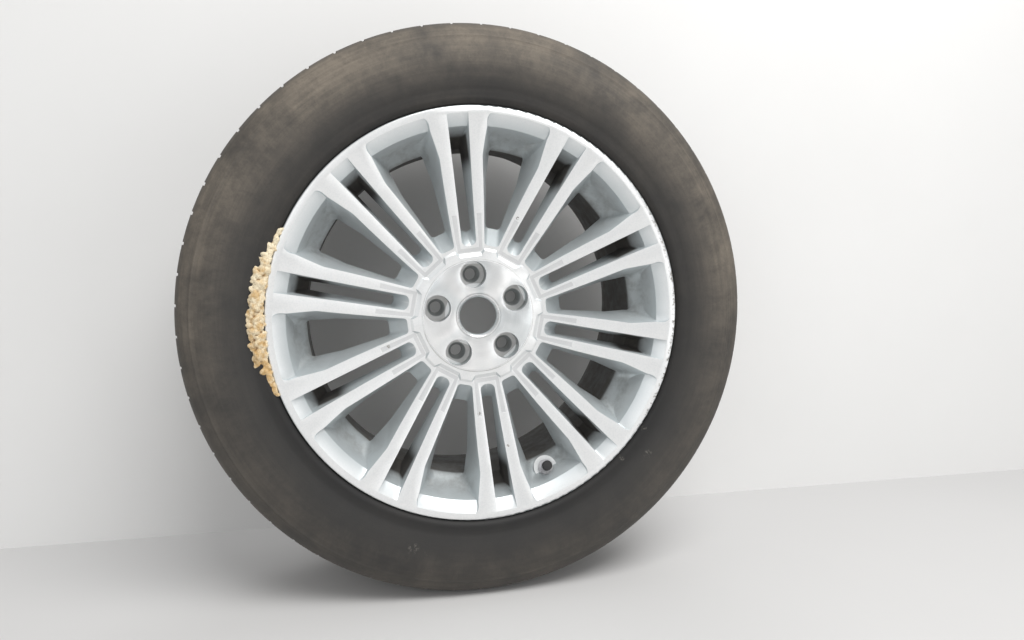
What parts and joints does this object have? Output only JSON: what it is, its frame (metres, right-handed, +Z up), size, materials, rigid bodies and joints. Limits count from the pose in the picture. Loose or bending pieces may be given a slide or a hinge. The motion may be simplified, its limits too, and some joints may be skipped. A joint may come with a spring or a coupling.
{
  "type": "alloy wheel with tyre",
  "caption": "Cast alloy car wheel with slim double spokes, a worn tyre, a metal clamp-in valve with pressure sensor, and set foam on the rim edge.",
  "frame": {"origin": "wheel axis at the middle of the rim's width", "axes": "+Y along the wheel axis towards the car, so the outer face looks to -Y; +Z up"},
  "size_m": [0.7319, 0.242, 0.732],
  "materials": {
    "rim_silver": "silver paint, turned bright at the hub",
    "tyre_rubber": "worn and dusty",
    "valve_metal": "satin",
    "seal_rubber": "matt",
    "core_brass": "plain",
    "cap_plastic": "matt",
    "sensor_plastic": "matt",
    "screw_steel": "plain",
    "weight_zinc": "dull grey",
    "crust_foam": "rough set foam"
  },
  "bodies": {
    "wheel": {"alloy_rim": "rim_silver", "tyre": "tyre_rubber", "valve_stem": "valve_metal", "valve_grommet": "seal_rubber", "valve_washer": "valve_metal", "valve_nut": "valve_metal", "valve_core": "core_brass", "sensor_body": "sensor_plastic", "sensor_screw": "screw_steel", "balance_weights": "weight_zinc", "foam_crust": "crust_foam"},
    "cap_seal": {"cap_seal": "seal_rubber"},
    "valve_cap": {"valve_cap": "cap_plastic"},
    "valve_pin": {"valve_pin": "core_brass"}
  },
  "joints": [
    {"name": "cap_lift", "type": "slide", "parent": "wheel", "child": "cap_seal", "axis": [-0.1557, -0.9239, 0.3496], "range_m": [0, 0.00476]},
    {"name": "cap_turn", "type": "hinge", "parent": "cap_seal", "child": "valve_cap", "pos_m": [0.08853, -0.0994, -0.19885], "axis": [-0.1557, -0.9239, 0.3496], "range_deg": [0, 2160]},
    {"name": "pin_press", "type": "slide", "parent": "wheel", "child": "valve_pin", "axis": [-0.1557, -0.9239, 0.3496], "range_m": [-0.0012, 0], "stiffness_N_per_m": 1500}
  ],
  "couplings": [
    {"joint": "cap_turn", "follows": "cap_lift", "rad_per_m": 7913.3}
  ]
}
